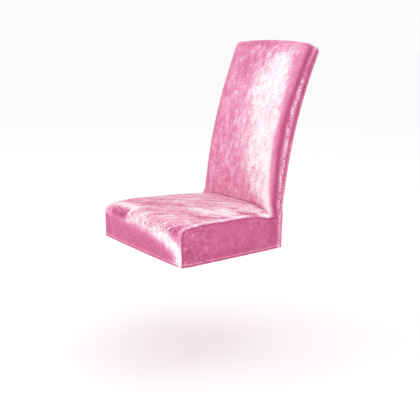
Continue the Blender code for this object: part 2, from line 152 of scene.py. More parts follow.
def curve(table, column, place):
    # a table's column at a place, on a smooth curve through its rows
    rows = [(row[0], row[column]) for row in table]
    if place <= rows[0][0]:
        return rows[0][1]
    if place >= rows[-1][0]:
        return rows[-1][1]
    k = next(i for i in range(len(rows) - 1) if place <= rows[i + 1][0])
    slopes = []
    for i in (k, k + 1):
        a, b = rows[max(i - 1, 0)], rows[min(i + 1, len(rows) - 1)]
        slopes.append((b[1] - a[1]) / (b[0] - a[0]))
    (start, low), (end, high) = rows[k], rows[k + 1]
    span = end - start
    t = (place - start) / span
    bend = (2 * t**3 - 3 * t**2 + 1) * low + (3 * t**2 - 2 * t**3) * high
    return bend + span * ((t**3 - 2 * t**2 + t) * slopes[0] + (t**3 - t**2) * slopes[1])


def rollWidth(roll):
    return roll[0] * math.sin(roll[1])


def rollDepth(roll, edge=0.0):
    reach = max(0.0, rollWidth(roll) - edge)
    return roll[0] - math.sqrt(roll[0] ** 2 - reach**2)


def hemRelief(height):
    band, proud, dip = cloth["hemHeight"], cloth["hemProud"], cloth["hemDip"]
    if height > band:
        return -dip * proud * (1 - ease(height, band, cloth["hemReach"]))
    return proud * (math.sin(math.pi * height / band) - dip * height / band)


def crumple(point, edge):
    # soft unevenness of the stretched velvet, dying out at the seams
    share = ease(edge, *cloth["seamEase"])
    return share * sum(height * noise.noise(point * waves) for waves, height in cloth["crumples"])


def hemZ(y):
    return seat["hemFront"] + seat["hemSlope"] * y


def sideHalf(y, z):
    # half width: the seat's below, the back's above
    low = seat["halfFront"] - seat["taper"] * y
    start, blendLow = seat["sideSeam"][-2][0], back["blendLow"]
    top = lerp(back["blendSeat"], back["blendBack"], ease(y, start, seat["creaseY"] - start))
    return lerp(low, back["half"], ease(z, blendLow, top - blendLow))


def backPlace(along, depth):
    # (y, z) at a length along the back's arc and a depth behind its front face
    foot, rate = back["leanFoot"], back["leanRate"]
    lean = foot + rate * along
    y = back["footY"] + (math.cos(foot) - math.cos(lean)) / rate
    z = back["footZ"] + (math.sin(lean) - math.sin(foot)) / rate
    return y + depth * math.cos(lean), z - depth * math.sin(lean)


def backPoint(share, along, depth):
    lift = back["rearLift"] * max(0.0, depth)
    level = along + lift * ease(along, *back["liftEase"])
    y, z = backPlace(level, depth)
    return Vector((share * sideHalf(y, z), y, z))


def backThickness(along):
    return lerp(back["thickLow"], back["thickHigh"], smooth(along / back["thickRise"]))


def seamDepth(along):
    return lerp(back["seamLow"], back["seamHigh"], ease(along, back["sideFoot"], back["seamRise"]))


def topPart(along):
    return ease(along, back["topFrom"], back["top"] - back["topFrom"])


def backTop(share):
    return back["top"] + back["topArch"] * (1 - share * share)


def seatCrown(share, y):
    rise = curve(seat["sideSeam"], 2, y) - curve(seat["sideSeam"], 1, y) - rollDepth(cornerRoll)
    turn = seat["crownTurnY"]
    power = lerp(*seat["crownPowers"], ease(y, turn, seat["creaseY"] - turn))
    return rise * (1 - abs(share) ** power)


def creaseZ(share):
    edge = seat["sideSeam"][-1][1] + rollDepth(cornerRoll) - rollDepth(creaseRoll)
    return edge + seatCrown(share, seat["creaseY"])


hangY, hangZ = backPlace(backTop(0) - cloth["thickness"], back["seamHigh"] * back["hangShare"])
hang = Vector((0, hangY, hangZ))


# Folds, and strokes of painted highlight and shade, are lines drawn on a panel's own flat places, in
# metres:
# the points of the line, its width, and how strong it is.
def fromLine(points, s, t):
    nearest = math.inf
    for (s0, t0), (s1, t1) in zip(points, points[1:]):
        ds, dt = s1 - s0, t1 - t0
        part = ((s - s0) * ds + (t - t0) * dt) / (ds * ds + dt * dt)
        part = min(1.0, max(0.0, part))
        nearest = min(nearest, math.hypot(s - s0 - part * ds, t - t0 - part * dt))
    return nearest


def strokes(lines, s, t):
    total, reach = 0.0, 3
    for points, width, amount in lines:
        away = fromLine(points, s, t) / width
        if away < reach:
            total += amount * math.exp(-away * away)
    return total


def mirrored(lines):
    return lines + [([(-s, t) for s, t in points], width, amount) for points, width, amount in lines]


def coons(low, high, left, right):
    # rows of points that fill the space inside four edges
    across, up = len(low) - 1, len(left) - 1
    rows = []
    for j in range(up + 1):
        v = j / up
        row = []
        for i in range(across + 1):
            u = i / across
            sides = lerp(left[j], right[j], u) + lerp(low[i], high[i], v)
            corners = lerp(lerp(low[0], low[-1], u), lerp(high[0], high[-1], u), v)
            row.append(sides - corners)
        rows.append(row)
    return rows


def sewPanel(name, rows, rings, hemRows, material):
    # a grid laid on the rows, with rings extruded from its sides and top; each spot is
    # (point, its painted highlight and shade with the velvet's own tone, how grainy it is)
    across, up = len(rows[0]) - 1, len(rows) - 1
    bpy.ops.object.select_all(action="DESELECT")
    bpy.ops.mesh.primitive_grid_add(x_subdivisions=across, y_subdivisions=up, size=2)
    panel = bpy.context.object
    panel.name = panel.data.name = name
    form = bmesh.new()
    form.from_mesh(panel.data)
    pileAndPaintedLight = form.verts.layers.float.new("pileAndPaintedLight")
    grain = form.verts.layers.float.new("grain")
    hem = form.verts.layers.float.new("hem")

    def lay(vertex, spot):
        vertex.co = spot[0] - hang
        vertex[pileAndPaintedLight], vertex[grain] = spot[1], spot[2]

    grid = {}
    for vertex in form.verts:
        i = round((vertex.co.x + 1) / 2 * across)
        j = round((vertex.co.y + 1) / 2 * up)
        grid[i, j] = vertex
    for (i, j), vertex in grid.items():
        lay(vertex, rows[j][i])
        vertex[hem] = 1.0 if j < hemRows else 0.0
    path = [grid[0, j] for j in range(up)]
    path += [grid[i, up] for i in range(across + 1)]
    path += [grid[across, j] for j in range(up - 1, -1, -1)]
    for ring in rings:
        edges = [form.edges.get(pair) for pair in zip(path, path[1:])]
        made = bmesh.ops.extrude_edge_only(form, edges=edges)["geom"]
        new = {item for item in made if isinstance(item, bmesh.types.BMVert)}
        outer = []
        for vertex in path:
            near = (edge.other_vert(vertex) for edge in vertex.link_edges)
            outer.append(next(other for other in near if other in new))
        for index, (vertex, spot) in enumerate(zip(outer, ring, strict=True)):
            lay(vertex, spot)
            low = min(index, len(outer) - 1 - index)
            vertex[hem] = 1.0 if low < hemRows else 0.0
        path = outer
    faceOutwards(form)
    form.verts.index_update()
    turnedUp = [vertex.index for vertex in form.verts if vertex[hem] > 0.5]
    form.to_mesh(panel.data)
    form.free()

    panel.data.materials.clear()
    panel.data.materials.append(material)
    panel.data.materials.append(backing)
    shell = panel.modifiers.new("cloth", "SOLIDIFY")
    shell.offset = -1
    shell.thickness = cloth["hemThickness"] if hemRows else cloth["thickness"]
    shell.use_quality_normals = True
    shell.material_offset = 1
    if hemRows:
        thick = panel.vertex_groups.new(name="hem")
        thick.add(turnedUp, 1.0, "REPLACE")
        shell.vertex_group = "hem"
        shell.thickness_vertex_group = cloth["thickness"] / cloth["hemThickness"]
    bpy.ops.object.modifier_apply(modifier="cloth")
    bpy.ops.object.shade_smooth_by_angle(angle=cloth["smoothAngle"])
    print("sewn", name, len(panel.data.polygons), "faces")
    return panel


def faceOutwards(form):
    # the open surface faces away from the middle of the chair
    form.normal_update()
    inside = Vector(seat["heart"])
    facing = 0.0
    for face in form.faces:
        middle = face.calc_center_median() + hang
        level = Vector((0, backPlace(middle.z - back["footZ"], back["heartDepth"])[0], middle.z))
        heart = level if middle.z > back["heartFrom"] else inside
        facing += face.normal.dot((middle - heart).normalized()) * face.calc_area()
    if facing < 0:
        bmesh.ops.reverse_faces(form, faces=form.faces)


# Crushed velvet
velvetLook = {
    "colours": [  # level of painted highlight and shade, and the colour there: deep pink in painted shade, near white in painted highlight
        (0.00, (150, 44, 88)),
        (0.16, (182, 72, 116)),
        (0.34, (206, 98, 142)),
        (0.50, (226, 128, 167)),
        (0.64, (237, 164, 194)),
        (0.78, (243, 212, 225)),
        (0.90, (252, 245, 249)),
    ],
    "crush": (20.0, 4, 0.6),  # noise scale, detail and roughness
    "patches": (60.0, 5, 0.68),
    "specks": (320.0, 3, 0.75),
    "fibres": (900.0, 2, 0.6),
    "parts": (0.70, 1.15, 2.1),  # how much the first three count
    "speckHeight": 0.8,
    "bump": (0.35, 0.0012),  # strength and height
    "roughness": {"From Min": 0.35, "From Max": 0.85, "To Min": 0.68, "To Max": 0.52},
    "specular": 0.35,
    "sheen": 0.18,
    "sheenRoughness": 0.35,
    "sheenTint": (1.0, 0.86, 0.93, 1.0),
    "topWaves": 40,  # the mottling of the rolled top
    "topMottle": 0.05,
}

# the dull knitted inside of the velvet
backingLook = {
    "rows": (420.0, 2, 0.5, (1.0, 1.0, 3.0)),
    "colours": [(0.3, (196, 112, 146)), (0.7, (222, 146, 176))],
    "bump": (0.3, 0.0005),
    "roughness": 0.9,
}


def tone(red, green, blue):
    # a colour as the eye names it, out of 255, for a shader
    parts = []
    for value in (red, green, blue):
        value /= 255
        parts.append(value / 12.92 if value <= 0.04045 else ((value + 0.055) / 1.055) ** 2.4)
    return (*parts, 1.0)


def addNode(material, kind, **values):
    node = material.node_tree.nodes.new(kind)
    for key, value in values.items():
        if hasattr(node, key) and key not in node.inputs:
            setattr(node, key, value)
        else:
            node.inputs[key].default_value = value
    return node


def newMaterial(name):
    material = bpy.data.materials.new(name)
    material.use_nodes = True
    return material, material.node_tree.nodes["Principled BSDF"]


def rampNode(material, value, colours):
    ramp = addNode(material, "ShaderNodeValToRGB")
    stops = ramp.color_ramp.elements
    for stop, (position, colour) in zip(stops, (colours[0], colours[-1])):
        stop.position, stop.color = position, tone(*colour)
    for position, colour in colours[1:-1]:
        stops.new(position).color = tone(*colour)
    material.node_tree.links.new(value, ramp.inputs["Fac"])
    return ramp.outputs["Color"]


def bumpNode(material, height, strength, distance):
    bump = addNode(material, "ShaderNodeBump", Strength=strength, Distance=distance)
    material.node_tree.links.new(height, bump.inputs["Height"])
    return bump.outputs["Normal"]


def mathNode(material, operation, first, second):
    node = addNode(material, "ShaderNodeMath", operation=operation)
    for socket, value in zip(node.inputs, (first, second)):
        if isinstance(value, (int, float)):
            socket.default_value = value
        else:
            material.node_tree.links.new(value, socket)
    return node.outputs[0]


def noiseNode(material, place, scale, detail, roughness, stretch=None, turn=0.0):
    links = material.node_tree.links
    if stretch:
        mapping = addNode(material, "ShaderNodeMapping", vector_type="TEXTURE", Scale=stretch)
        mapping.inputs["Rotation"].default_value = (0.0, 0.0, math.radians(turn))
        links.new(place, mapping.inputs["Vector"])
        place = mapping.outputs[0]
    node = addNode(material, "ShaderNodeTexNoise", Scale=scale, Detail=detail, Roughness=roughness)
    links.new(place, node.inputs["Vector"])
    return node.outputs["Fac"]


def crushedVelvet(name, look, stretch, turn=0.0):
    material, shader = newMaterial(name)
    links = material.node_tree.links
    place = addNode(material, "ShaderNodeTexCoord").outputs["Object"]
    pileAndPaintedLight = addNode(material, "ShaderNodeAttribute", attribute_name="pileAndPaintedLight").outputs["Fac"]
    grain = addNode(material, "ShaderNodeAttribute", attribute_name="grain").outputs["Fac"]

    def weighed(value, amount):
        return mathNode(material, "MULTIPLY", mathNode(material, "SUBTRACT", value, 0.5), amount)

    crush = noiseNode(material, place, *look["crush"], stretch, turn)
    patches = noiseNode(material, place, *look["patches"], stretch, turn)
    specks = noiseNode(material, place, *look["specks"])
    fibres = noiseNode(material, place, *look["fibres"])
    crushPart, patchPart, speckPart = look["parts"]
    broad = mathNode(material, "ADD", weighed(crush, crushPart), weighed(patches, patchPart))
    uneven = mathNode(material, "ADD", broad, weighed(specks, speckPart))
    # the base colour holds painted highlight and shade from the attribute, roughened by the velvet's
    # random patches and specks
    shine = mathNode(material, "ADD", pileAndPaintedLight, mathNode(material, "MULTIPLY", uneven, grain))
    links.new(rampNode(material, shine, look["colours"]), shader.inputs["Base Color"])

    rough = addNode(material, "ShaderNodeMapRange", **look["roughness"])
    links.new(shine, rough.inputs["Value"])
    links.new(rough.outputs["Result"], shader.inputs["Roughness"])

    height = mathNode(material, "MULTIPLY", specks, look["speckHeight"])
    height = mathNode(material, "ADD", height, fibres)
    links.new(bumpNode(material, height, *look["bump"]), shader.inputs["Normal"])
    shader.inputs["Sheen Weight"].default_value = look["sheen"]
    shader.inputs["Sheen Roughness"].default_value = look["sheenRoughness"]
    shader.inputs["Sheen Tint"].default_value = look["sheenTint"]
    shader.inputs["Specular IOR Level"].default_value = look["specular"]
    return material


def knitBacking(look):
    material, shader = newMaterial("knitBacking")
    links = material.node_tree.links
    place = addNode(material, "ShaderNodeTexCoord").outputs["Object"]
    rows = noiseNode(material, place, *look["rows"])
    links.new(rampNode(material, rows, look["colours"]), shader.inputs["Base Color"])
    links.new(bumpNode(material, rows, *look["bump"]), shader.inputs["Normal"])
    shader.inputs["Roughness"].default_value = look["roughness"]
    return material


# the crushed patches are drawn out: upwards on the back, slanting over the seat
backing = knitBacking(backingLook)
backVelvet = crushedVelvet("backVelvet", velvetLook, (1.0, 1.0, 1.9))
seatVelvet = crushedVelvet("seatVelvet", velvetLook, (2.1, 0.5, 0.7), 53.7)
print("made the velvet")


# Back, seen from the front: shares of the half width and lengths along the arc
outlineSteps = {"side": 150, "top": 108, "corner": 5}
footHeights = [0.0, 0.0011, 0.0022, 0.0038, 0.0055, 0.0078, 0.0105, 0.014, 0.018, 0.022, 0.026]
hemHeights = [part * cloth["hemHeight"] for part in spread(0.0, 1.0, 6)]
hemHeights += [cloth["hemHeight"] + 0.001, cloth["hemHeight"] + 0.003]
hemRowCount = 7


def footRows():
    return [back["sideFoot"] + cloth["seamGap"] + height for height in footHeights]


def backOutline(lowRows):
    cornerShare = back["topCorner"] / back["half"]
    straight = back["top"] - back["topCorner"]
    side = [(-1.0, along) for along in lowRows]
    side += [(-1.0, along) for along in spread(lowRows[-1], straight, outlineSteps["side"])[1:]]

    def corner(turn):
        share = -1 + cornerShare * (1 - math.cos(turn))
        return share, straight + back["topCorner"] * math.sin(turn)

    turns = spread(0.0, math.pi / 4, outlineSteps["corner"])
    side += [corner(turn) for turn in turns[1:]]
    top = [corner(math.pi / 4 + turn) for turn in turns[:-1]]
    bends = len(top)
    flat = 1 - cornerShare
    top += [(share, back["top"]) for share in spread(-flat, flat, outlineSteps["top"])]
    top += [(-share, along) for share, along in reversed(top[:bends])]
    return side, top


def arched(share, along):
    lift = ease(along / back["top"], *back["archEase"])
    return along + (backTop(share) - back["top"]) * lift


def rounding(outer, inner, turn):
    # share and length where the edge of a panel rounds over from its wall to its face
    inward = 1 - math.cos(turn)
    return lerp(outer[0], inner.x, inward), lerp(arched(*outer), inner.y, inward)


def tray(lowRows, edges, footAlong):
    # outline, face border and filled face of a panel that caps one side of the back
    side, top = backOutline(lowRows)
    foot = lowRows[0]
    right = [(-share, along) for share, along in side]
    path = side[:-1] + top + right[:-1][::-1]
    last, across = len(side) - 1, len(top) - 1

    def onTop(index):
        return last <= index <= last + across

    border = []
    sideEnd, topEnd = side[-1][1], abs(top[0][0])
    for index, (share, along) in enumerate(path):
        if onTop(index):
            inner = 1 - edges(back["top"], False) / back["half"]
            shareIn = share / topEnd * inner
            border.append(Vector((shareIn, backTop(shareIn) - edges(along, True))))
        else:
            shareIn = math.copysign(1 - edges(along, False) / back["half"], share)
            limit = backTop(shareIn) - edges(back["top"], True)
            part = (along - foot) / (sideEnd - foot)
            border.append(Vector((shareIn, lerp(foot, limit, part))))
    leftEdge = border[:last + 1]
    topEdge = border[last:last + across + 1]
    rightEdge = border[last + across:][::-1]
    start = leftEdge[0]
    lowEdge = [
        Vector((point.x / topEdge[0].x * start.x, footAlong(point.x / topEdge[0].x)))
        for point in topEdge
    ]
    return path, border, coons(lowEdge, topEdge, leftEdge, rightEdge), onTop


def turned(path, index):
    # which way the wall faces at a point of the outline, as (sideways, along)
    share, along = path[index]
    if along <= back["top"] - back["topCorner"]:
        return math.copysign(1.0, share), 0.0
    flat = 1 - back["topCorner"] / back["half"]
    if abs(share) <= flat:
        return 0.0, 1.0
    over = (abs(share) - flat) * back["half"] / back["topCorner"]
    angle = math.acos(min(1.0, over))
    return math.copysign(math.cos(angle), share), math.sin(angle)


def shifted(share, along, depth, sideways, upwards, backwards):
    point = backPoint(share, along + upwards, depth + backwards)
    point.x += sideways
    return point


topDent = [(0.004, 0.512), (0.012, 0.480), (0.010, 0.455), (-0.006, 0.440)]
backFrontLook = {
    # flat places here are the girth, measured round the side edges, and the length along the arc
    "folds": mirrored([
        ([(0.192, 0.002), (0.178, 0.045), (0.163, 0.10)], 0.008, 0.0016),
        ([(0.186, -0.002), (0.150, 0.022), (0.118, 0.03)], 0.006, -0.0007),
    ]) + [
        (topDent, 0.004, -0.0011),
        ([(-0.030, 0.556), (-0.085, 0.505)], 0.006, -0.0006),
        ([(0.030, 0.560), (-0.020, 0.515)], 0.006, -0.0006),
        ([(-0.080, 0.560), (-0.130, 0.520)], 0.007, -0.0006),
    ],
    # the painted highlight band down the front face: length along the arc, left edge, middle and
    # right edge
    "band": [
        (-0.013, 0.165, 0.183, 0.194),
        (0.010, 0.135, 0.177, 0.191),
        (0.065, 0.045, 0.160, 0.178),
        (0.125, -0.010, 0.140, 0.169),
        (0.190, -0.045, 0.117, 0.163),
        (0.280, -0.070, 0.095, 0.161),
        (0.342, -0.078, 0.082, 0.159),
        (0.395, -0.078, 0.074, 0.156),
        (0.440, -0.068, 0.072, 0.153),
        (0.490, -0.048, 0.074, 0.143),
        (0.560, -0.010, 0.080, 0.122),
    ],
    # girths of the painted shade band on the side wall and of the painted highlight stripe beside
    # the rear seam
    "paintedShadeEdge": [(-0.013, 0.212), (0.11, 0.206), (0.209, 0.195), (0.342, 0.194), (0.433, 0.203),
                 (0.56, 0.210)],
    "highlightStripe": [(-0.013, 0.2285), (0.112, 0.2255), (0.212, 0.2195), (0.316, 0.2165), (0.408, 0.2185),
                (0.56, 0.222)],
    # lighter and darker strokes on the front: painted highlight and shade, with some of the velvet's
    # own crushed patches
    "strokes": [
        ([(-0.170, 0.06), (-0.172, 0.50)], 0.020, -0.05),
        ([(-0.08, 0.10), (-0.09, 0.40)], 0.045, 0.05),
        ([(-0.13, 0.557), (0.05, 0.570)], 0.012, -0.10),
        ([(-0.05, 0.55), (-0.12, 0.50)], 0.008, 0.10),
        ([(0.05, 0.562), (0.02, 0.53)], 0.008, 0.12),
        (topDent, 0.006, -0.16),
        ([(0.10, 0.02), (0.15, 0.01)], 0.02, -0.06),
        ([(0.09, 0.556), (0.15, 0.535)], 0.028, 0.12),
    ],
    # painted light on the front of the back: highlight band, highlight rim, shade band, highlight
    # stripe, seam and wall shade, highlight on the rolled top
    "pileAndPaintedLight": {
        "shine": 0.515,
        "grain": 0.62,
        "bandShine": 0.385,
        "bandGrain": 0.20,
        "bandCurve": 0.5,
        "bandSoft": (0.013, 0.034),  # how softly it ends on the right, below and above
        "softEase": (0.40, 0.1),
        "softSpan": 2.1,
        "bandFade": (0.556, 0.05),
        "rimShine": 0.20,  # painted highlight along the far edge's rim
        "rimEase": (0.180, 0.01),
        "rimEndEase": (0.204, 0.01),
        "wallFrom": 0.14,
        "calmGrain": 0.25,
        "calmEase": (0.150, 0.02),
        # painted shade band on the side wall
        "paintedShadeHump": (0.26, 0.0115),
        "stripeShine": 0.23,
        "stripeGrain": 1.35,
        "stripeWidth": 0.0078,
        "stripeFaint": 0.45,  # its share at the top
        "stripeFade": (0.50, 0.08),
        "seamShade": 0.08,
        "seamEase": (0.008, 0.003),
        "wallShade": 0.07,
        "wallEase": (0.185, 0.015),
        "topShine": 0.44,  # painted highlight on the rolled top
        "topRise": 0.12,
        "topOver": 0.03,
        "topBlend": 0.006,
        "topGrain": 0.7,
    },
    "turnSteps": 12,
    # up to 1 from the rounded edge to the seam's roll, up to 3 over it
    "wallSteps": (0.25, 0.5, 0.75, 1.0, 1.5, 2.0, 2.5, 3.0),
    "foldReach": 0.01,
    "topGirth": 0.045,
}


def backFrontShine(girth, along):
    # painted highlight and shade at a place, with the velvet's own patches, and how grainy it is
    look, pileAndPaintedLight = backFrontLook, backFrontLook["pileAndPaintedLight"]
    side = abs(girth)
    left, core, right = (curve(look["band"], column, along) for column in (1, 2, 3))
    part = min(1.0, max(0.0, (girth - left) / (core - left)))
    rise = lerp(part, smooth(part), pileAndPaintedLight["bandCurve"])
    soft = lerp(*pileAndPaintedLight["bandSoft"], ease(along, *pileAndPaintedLight["softEase"]))
    fall = 1 - smooth((girth - right + soft) / (pileAndPaintedLight["softSpan"] * soft))
    band = rise * fall * fade(along, *pileAndPaintedLight["bandFade"])
    shine = pileAndPaintedLight["shine"] + pileAndPaintedLight["bandShine"] * band + strokes(look["strokes"], girth, along)
    grain = pileAndPaintedLight["grain"] + pileAndPaintedLight["bandGrain"] * band
    # a painted highlight rim along the far edge
    if girth < 0:
        rim = pileAndPaintedLight["rimShine"] * ease(side, *pileAndPaintedLight["rimEase"])
        shine += rim * (1 - ease(side, *pileAndPaintedLight["rimEndEase"]))
    # on the side wall: a painted shade band, a painted highlight stripe beside the rear seam,
    # painted shade at the seam and over the wall
    if side > pileAndPaintedLight["wallFrom"]:
        grain = lerp(grain, pileAndPaintedLight["calmGrain"], ease(side, *pileAndPaintedLight["calmEase"]))
        shine -= hump(side - curve(look["paintedShadeEdge"], 1, along), *pileAndPaintedLight["paintedShadeHump"])
        edge, faint = side - curve(look["highlightStripe"], 1, along), pileAndPaintedLight["stripeFaint"]
        share = faint + (1 - faint) * fade(along, *pileAndPaintedLight["stripeFade"])
        stripe = hump(edge, 1.0, pileAndPaintedLight["stripeWidth"]) * share
        shine += pileAndPaintedLight["stripeShine"] * stripe - pileAndPaintedLight["seamShade"] * ease(edge, *pileAndPaintedLight["seamEase"])
        shine -= pileAndPaintedLight["wallShade"] * ease(side, *pileAndPaintedLight["wallEase"])
        grain += pileAndPaintedLight["stripeGrain"] * stripe
    return shine, grain


def topMottle(point):
    return velvetLook["topMottle"] * noise.noise(point * velvetLook["topWaves"])


def backFront():
    # front of the back, rolled round its edges to the rear seam
    look, pileAndPaintedLight = backFrontLook, backFrontLook["pileAndPaintedLight"]
    lowRows = footRows()
    foot, half = lowRows[0], back["half"]

    def edges(along, onTop):
        flare = ease(along, back["sideFoot"], back["footFlare"])
        radius = lerp(back["frontEdgeFoot"], back["frontEdge"], flare)
        top = back["frontEdgeTop"]
        return top if onTop else lerp(radius, top, topPart(along))

    def footAlong(share):
        return creaseZ(share) - back["footZ"] + cloth["seamGap"]

    def lift(point, girth, along, edge):
        folds = strokes(look["folds"], girth, along)
        return crumple(point, edge) + folds * smooth(edge / look["foldReach"])

    path, border, filled, onTop = tray(lowRows, edges, footAlong)
    rows = []
    for line in filled:
        row = []
        for i, place in enumerate(line):
            above = place.y - filled[0][i].y
            below = backTop(0) - place.y
            inner = min(1.0, abs(place.x) / abs(line[0].x))
            height = smooth(above / back["crownRise"]) * smooth(below / back["crownFall"])
            swell = back["crown"] * (1 - inner**2) * height
            point = backPoint(place.x, place.y, rollDepth(creaseRoll, above) - swell)
            girth = place.x * half
            seamAway = min(above, half - abs(girth) + seamDepth(place.y), below + look["topGirth"])
            point.y -= lift(point, girth, place.y, seamAway)
            row.append((point, *backFrontShine(girth, place.y)))
        rows.append(row)

    def ringSpot(index, across, up, depth, turn, low, lowFace):
        point = backPoint(across, up, depth)
        sideways, rise = turned(path, index)
        girth = math.copysign(abs(across) * half + depth * abs(sideways), across)
        away = min(seamDepth(up) - depth, up - foot)
        out = lift(point, girth, up, away) - low
        wall = out * math.cos(turn)
        face = lowFace - (out + low) * math.sin(turn)
        point = shifted(across, up, depth, wall * sideways, wall * rise, face)
        shine, grain = backFrontShine(girth, up)
        # the rolled top is painted lighter, as a highlight
        if rise > 0:
            topShine = pileAndPaintedLight["topShine"] + pileAndPaintedLight["topRise"] * smooth(depth / pileAndPaintedLight["topOver"])
            topShine += topMottle(point)
            shine = lerp(shine, topShine, rise * smooth(depth / pileAndPaintedLight["topBlend"]))
            grain = lerp(grain, pileAndPaintedLight["topGrain"], rise)
        return point, shine, grain

    rings = []
    for turn in spread(math.pi / 2, 0.0, look["turnSteps"])[1:]:
        ring = []
        for index, outer in enumerate(path):
            across, up = rounding(outer, border[index], turn)
            low = rollDepth(flatRoll, up - foot)
            lowFace = rollDepth(creaseRoll, up - foot) * math.sin(turn)
            depth = edges(outer[1], onTop(index)) * (1 - math.sin(turn))
            ring.append(ringSpot(index, across, up, depth, turn, low, lowFace))
        rings.append(ring)
    for part in look["wallSteps"]:
        ring = []
        for index, (share, along) in enumerate(path):
            seam = seamDepth(along) - cloth["seamGap"]
            start, last = edges(along, onTop(index)), seam - rollWidth(flatRoll)
            depth = lerp(start, last, part) if part <= 1 else lerp(last, seam, (part - 1) / 2)
            up = arched(share, along)
            low = max(rollDepth(flatRoll, seam - depth), rollDepth(flatRoll, up - foot))
            ring.append(ringSpot(index, share, up, depth, 0.0, low, 0.0))
        rings.append(ring)
    return sewPanel("back_front_velvet", rows, rings, 0, backVelvet)


backRearLook = {
    "folds": mirrored([
        ([(0.175, -0.09), (0.12, -0.02)], 0.010, -0.0007),
    ]) + [
        ([(-0.05, 0.54), (-0.02, 0.49)], 0.007, -0.0006),
    ],
    # a painted highlight band down the rear face: length along the arc and its girth
    "band": [(-0.13, -0.02), (0.10, -0.055), (0.30, -0.075), (0.56, -0.06)],
    # lighter and darker strokes: painted highlight and shade, with some of the velvet's own patches
    "strokes": [
        ([(0.11, -0.1), (0.10, 0.45)], 0.035, 0.05),
        ([(-0.165, -0.1), (-0.17, 0.5)], 0.018, -0.06),
        ([(0.165, -0.1), (0.17, 0.5)], 0.018, -0.06),
        ([(-0.12, -0.06), (0.12, -0.075)], 0.03, -0.05),
    ],
    # painted light on the rear: a highlight band, a lighter top, a highlight strip beside the rear
    # seam, shade at the seam and along the edge
    "pileAndPaintedLight": {
        "shine": 0.46,
        "grain": 0.65,
        "bandShine": 0.30,
        "bandWidth": 0.055,
        "bandFade": (0.55, 0.08),
        "topShine": 0.50,
        "stripShine": (0.55, 0.38),  # painted highlight on the strip beside the rear seam, below and above
        "stripShineEase": (0.02, 0.20),
        "stripGrain": 0.45,
        "stripEase": (0.185, 0.01),
        "seamShadeHump": (0.30, 0.0022),
        "edgeShade": 0.12,
        "edgeEase": (0.013, 0.008),
    },
    "turnSteps": 7,
    "wallSteps": (0.33, 0.67, 1.0, 1.5, 2.0, 2.5, 3.0),
    "skirtSteps": 26,  # rows between the hem and the foot of the sides
    "skirtEnd": 0.012,
    "edgeGirth": 0.012,
    "seamAway": 0.02,
}


def backRearShine(girth, along, depth):
    # painted highlight band and strip, and painted shade at the rear seam and along the edge
    look, pileAndPaintedLight = backRearLook, backRearLook["pileAndPaintedLight"]
    band = hump(girth - curve(look["band"], 1, along), 1.0, pileAndPaintedLight["bandWidth"])
    band *= fade(along, *pileAndPaintedLight["bandFade"])
    shine = pileAndPaintedLight["shine"] + pileAndPaintedLight["bandShine"] * band + strokes(look["strokes"], girth, along)
    strip = ease(abs(girth), *pileAndPaintedLight["stripEase"])
    seam = depth - seamDepth(along)
    side = lerp(*pileAndPaintedLight["stripShine"], ease(along, *pileAndPaintedLight["stripShineEase"]))
    side -= hump(seam, *pileAndPaintedLight["seamShadeHump"]) + pileAndPaintedLight["edgeShade"] * ease(seam, *pileAndPaintedLight["edgeEase"])
    return lerp(shine, side, strip), lerp(pileAndPaintedLight["grain"], pileAndPaintedLight["stripGrain"], strip)


def backRear():
    # outside of the back, from the top seam to the rear hem
    look = backRearLook
    rear = backPlace(back["rearHem"], back["thickLow"])[0]
    foot, half = hemZ(rear) - back["footZ"], back["half"]
    skirtTop = back["sideFoot"] - look["skirtEnd"]
    lowRows = [foot + height for height in hemHeights]
    lowRows += spread(lowRows[-1], skirtTop, look["skirtSteps"])[1:] + footRows()

    def edges(along, onTop):
        top = back["rearEdgeTop"]
        return top if onTop else lerp(back["rearEdge"], top, topPart(along))

    def lift(point, girth, along, edge):
        return crumple(point, edge) + strokes(look["folds"], girth, along)

    path, border, filled, onTop = tray(lowRows, edges, lambda share: foot)
    rows = []
    for line in filled:
        row = []
        for place in line:
            above = place.y - foot
            depth = backThickness(place.y) + hemRelief(above)
            point = backPoint(place.x, place.y, depth)
            girth = place.x * half
            edge = min(half - abs(girth), backTop(0) - place.y)
            away = min(above, edge + look["seamAway"])
            point.y += lift(point, girth, place.y, away)
            shine, grain = backRearShine(girth, place.y, depth)
            row.append((point, hemShine(shine, above), grain))
        rows.append(row)

    def ringSpot(index, across, up, depth, turn, low, lowFace):
        sideways, rise = turned(path, index)
        girth = math.copysign(abs(across) * half + look["edgeGirth"] * math.cos(turn), across)
        point = shifted(across, up, depth, -low * sideways, -low * rise, lowFace)
        shine, grain = backRearShine(girth, up, depth)
        # the rolled top is painted lighter, as a highlight
        if rise > 0:
            shine = lerp(shine, look["pileAndPaintedLight"]["topShine"] + topMottle(point), rise)
        return point, hemShine(shine, up - foot), grain

    rings = []
    for turn in spread(math.pi / 2, 0.0, look["turnSteps"])[1:]:
        ring = []
        for index, outer in enumerate(path):
            across, up = rounding(outer, border[index], turn)
            relief = hemRelief(up - foot)
            depth = backThickness(up) - edges(outer[1], onTop(index)) * (1 - math.sin(turn))
            low = -relief * math.cos(turn)
            ring.append(ringSpot(index, across, up, depth, turn, low, relief * math.sin(turn)))
        rings.append(ring)
    for part in look["wallSteps"]:
        ring = []
        for index, (share, along) in enumerate(path):
            up = arched(share, along)
            seam = seamDepth(along) + cloth["seamGap"]
            start = backThickness(up) - edges(along, onTop(index))
            last = seam + rollWidth(flatRoll)
            depth = lerp(start, last, part) if part <= 1 else lerp(last, seam, (part - 1) / 2)
            low = rollDepth(flatRoll, depth - seam) - hemRelief(up - foot)
            ring.append(ringSpot(index, share, up, depth, 0.0, low, 0.0))
        rings.append(ring)
    return sewPanel("back_rear_velvet", rows, rings, hemRowCount, backVelvet)


